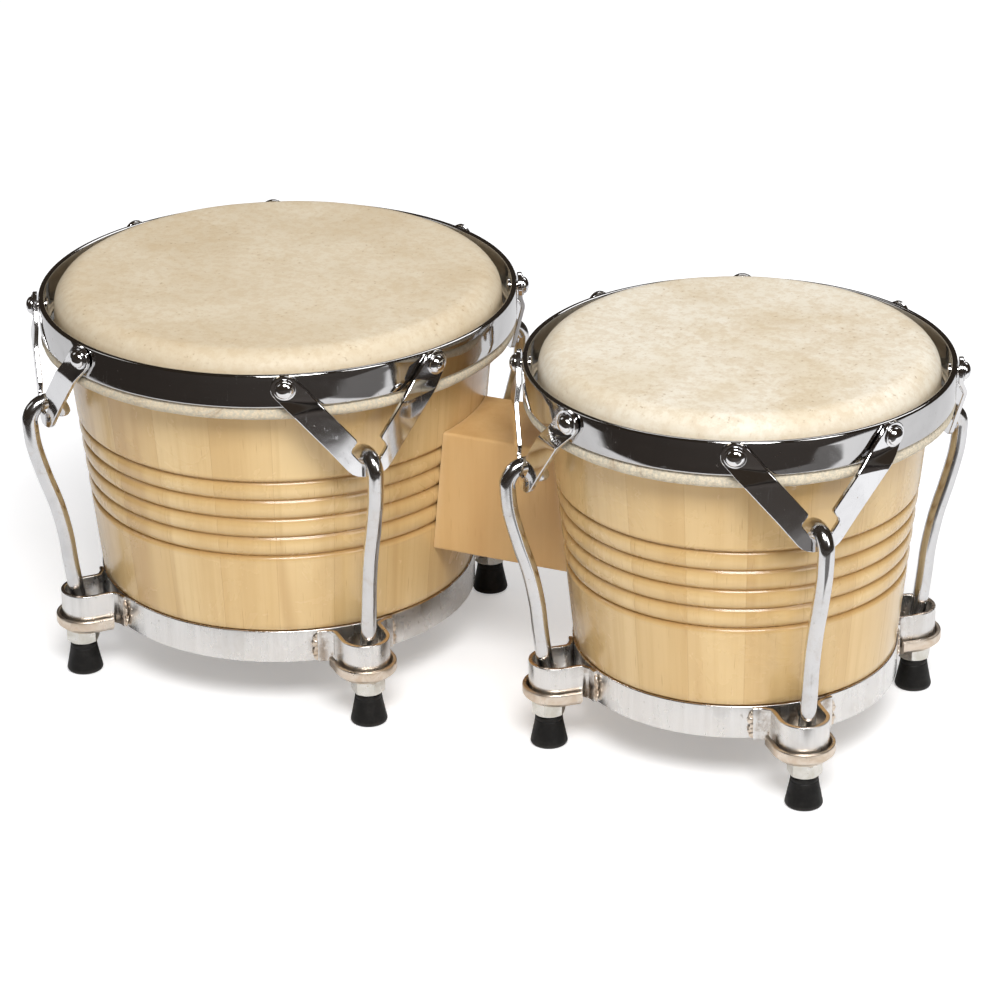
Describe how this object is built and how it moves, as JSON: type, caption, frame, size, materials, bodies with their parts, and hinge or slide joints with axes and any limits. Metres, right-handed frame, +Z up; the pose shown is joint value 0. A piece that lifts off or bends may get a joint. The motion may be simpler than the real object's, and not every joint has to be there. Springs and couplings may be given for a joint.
{
  "type": "bongo drums",
  "caption": "Pair of tapered stave hand drums, one larger, joined by a wooden centre block, with rawhide heads drawn down by hooked tuning rods on rubber feet.",
  "frame": {"origin": "on the floor under the middle of the pair, at the centre of its plan outline", "axes": "+X from the large drum to the small one, +Z up to the playing heads, +Y away from the player's side that the picture shows"},
  "size_m": [0.4046, 0.206, 0.1716],
  "materials": {
    "shell_wood": "gloss lacquer over pale vertical staves",
    "block_wood": "satin",
    "rawhide": "matt, mottled",
    "rim_chrome": "polished",
    "strap_chrome": "polished",
    "hook_chrome": "polished",
    "plated_ring": "satin plated",
    "warm_nickel": "satin, warm toned",
    "nut_nickel": "satin with stains",
    "rubber": "matt",
    "hidden_steel": "plain zinc"
  },
  "bodies": {
    "shells": {"large_shell": "shell_wood", "large_head": "rawhide", "large_bottom_ring": "plated_ring", "large_cup_washer_front_left": "warm_nickel", "large_cup_washer_front_right": "warm_nickel", "large_cup_washer_back_right": "warm_nickel", "large_cup_washer_back_left": "warm_nickel", "large_backing_plate": "hidden_steel", "large_block_bolt_lower": "hidden_steel", "large_block_bolt_upper": "hidden_steel", "small_shell": "shell_wood", "small_head": "rawhide", "small_bottom_ring": "plated_ring", "small_cup_washer_front_left": "warm_nickel", "small_cup_washer_front_right": "warm_nickel", "small_cup_washer_back_right": "warm_nickel", "small_cup_washer_back_left": "warm_nickel", "small_backing_plate": "hidden_steel", "small_block_bolt_lower": "hidden_steel", "small_block_bolt_upper": "hidden_steel", "centre_block": "block_wood"},
    "large_tension_set": {"large_head_tuck": "rawhide", "large_flesh_hoop": "hidden_steel", "large_rim": "rim_chrome", "large_strap_front_left": "strap_chrome", "large_hook_front_left": "hook_chrome", "large_foot_front_left": "rubber", "large_strap_front_right": "strap_chrome", "large_hook_front_right": "hook_chrome", "large_foot_front_right": "rubber", "large_strap_back_right": "strap_chrome", "large_hook_back_right": "hook_chrome", "large_foot_back_right": "rubber", "large_strap_back_left": "strap_chrome", "large_hook_back_left": "hook_chrome", "large_foot_back_left": "rubber"},
    "large_nut_front_left": {"large_nut_front_left": "nut_nickel"},
    "large_nut_front_right": {"large_nut_front_right": "nut_nickel"},
    "large_nut_back_right": {"large_nut_back_right": "nut_nickel"},
    "large_nut_back_left": {"large_nut_back_left": "nut_nickel"},
    "small_tension_set": {"small_head_tuck": "rawhide", "small_flesh_hoop": "hidden_steel", "small_rim": "rim_chrome", "small_strap_front_left": "strap_chrome", "small_hook_front_left": "hook_chrome", "small_foot_front_left": "rubber", "small_strap_front_right": "strap_chrome", "small_hook_front_right": "hook_chrome", "small_foot_front_right": "rubber", "small_strap_back_right": "strap_chrome", "small_hook_back_right": "hook_chrome", "small_foot_back_right": "rubber", "small_strap_back_left": "strap_chrome", "small_hook_back_left": "hook_chrome", "small_foot_back_left": "rubber"},
    "small_nut_front_left": {"small_nut_front_left": "nut_nickel"},
    "small_nut_front_right": {"small_nut_front_right": "nut_nickel"},
    "small_nut_back_right": {"small_nut_back_right": "nut_nickel"},
    "small_nut_back_left": {"small_nut_back_left": "nut_nickel"}
  },
  "joints": [
    {"name": "large_tuning", "type": "slide", "parent": "shells", "child": "large_tension_set", "axis": [0, 0, -1], "range_m": [0, 0.004]},
    {"name": "large_nut_turn_front_left", "type": "hinge", "parent": "shells", "child": "large_nut_front_left", "pos_m": [-0.16515, -0.07069, 0.0176], "axis": [0, 0, 1], "range_deg": [0, 1155]},
    {"name": "large_nut_turn_front_right", "type": "hinge", "parent": "shells", "child": "large_nut_front_right", "pos_m": [-0.02831, -0.06616, 0.0176], "axis": [0, 0, 1], "range_deg": [0, 1155]},
    {"name": "large_nut_turn_back_right", "type": "hinge", "parent": "shells", "child": "large_nut_back_right", "pos_m": [-0.03284, 0.07069, 0.0176], "axis": [0, 0, 1], "range_deg": [0, 1155]},
    {"name": "large_nut_turn_back_left", "type": "hinge", "parent": "shells", "child": "large_nut_back_left", "pos_m": [-0.16969, 0.06616, 0.0176], "axis": [0, 0, 1], "range_deg": [0, 1155]},
    {"name": "small_tuning", "type": "slide", "parent": "shells", "child": "small_tension_set", "axis": [0, 0, -1], "range_m": [0, 0.004]},
    {"name": "small_nut_turn_front_left", "type": "hinge", "parent": "shells", "child": "small_nut_front_left", "pos_m": [0.0504, -0.05423, 0.0176], "axis": [0, 0, 1], "range_deg": [0, 1155]},
    {"name": "small_nut_turn_front_right", "type": "hinge", "parent": "shells", "child": "small_nut_front_right", "pos_m": [0.16723, -0.0626, 0.0176], "axis": [0, 0, 1], "range_deg": [0, 1155]},
    {"name": "small_nut_turn_back_right", "type": "hinge", "parent": "shells", "child": "small_nut_back_right", "pos_m": [0.1756, 0.05423, 0.0176], "axis": [0, 0, 1], "range_deg": [0, 1155]},
    {"name": "small_nut_turn_back_left", "type": "hinge", "parent": "shells", "child": "small_nut_back_left", "pos_m": [0.05877, 0.0626, 0.0176], "axis": [0, 0, 1], "range_deg": [0, 1155]}
  ],
  "couplings": [
    {"joint": "large_nut_turn_front_left", "follows": "large_tuning", "rad_per_m": 5026.5},
    {"joint": "large_nut_turn_front_right", "follows": "large_tuning", "rad_per_m": 5026.5},
    {"joint": "large_nut_turn_back_right", "follows": "large_tuning", "rad_per_m": 5026.5},
    {"joint": "large_nut_turn_back_left", "follows": "large_tuning", "rad_per_m": 5026.5},
    {"joint": "small_nut_turn_front_left", "follows": "small_tuning", "rad_per_m": 5026.5},
    {"joint": "small_nut_turn_front_right", "follows": "small_tuning", "rad_per_m": 5026.5},
    {"joint": "small_nut_turn_back_right", "follows": "small_tuning", "rad_per_m": 5026.5},
    {"joint": "small_nut_turn_back_left", "follows": "small_tuning", "rad_per_m": 5026.5}
  ]
}
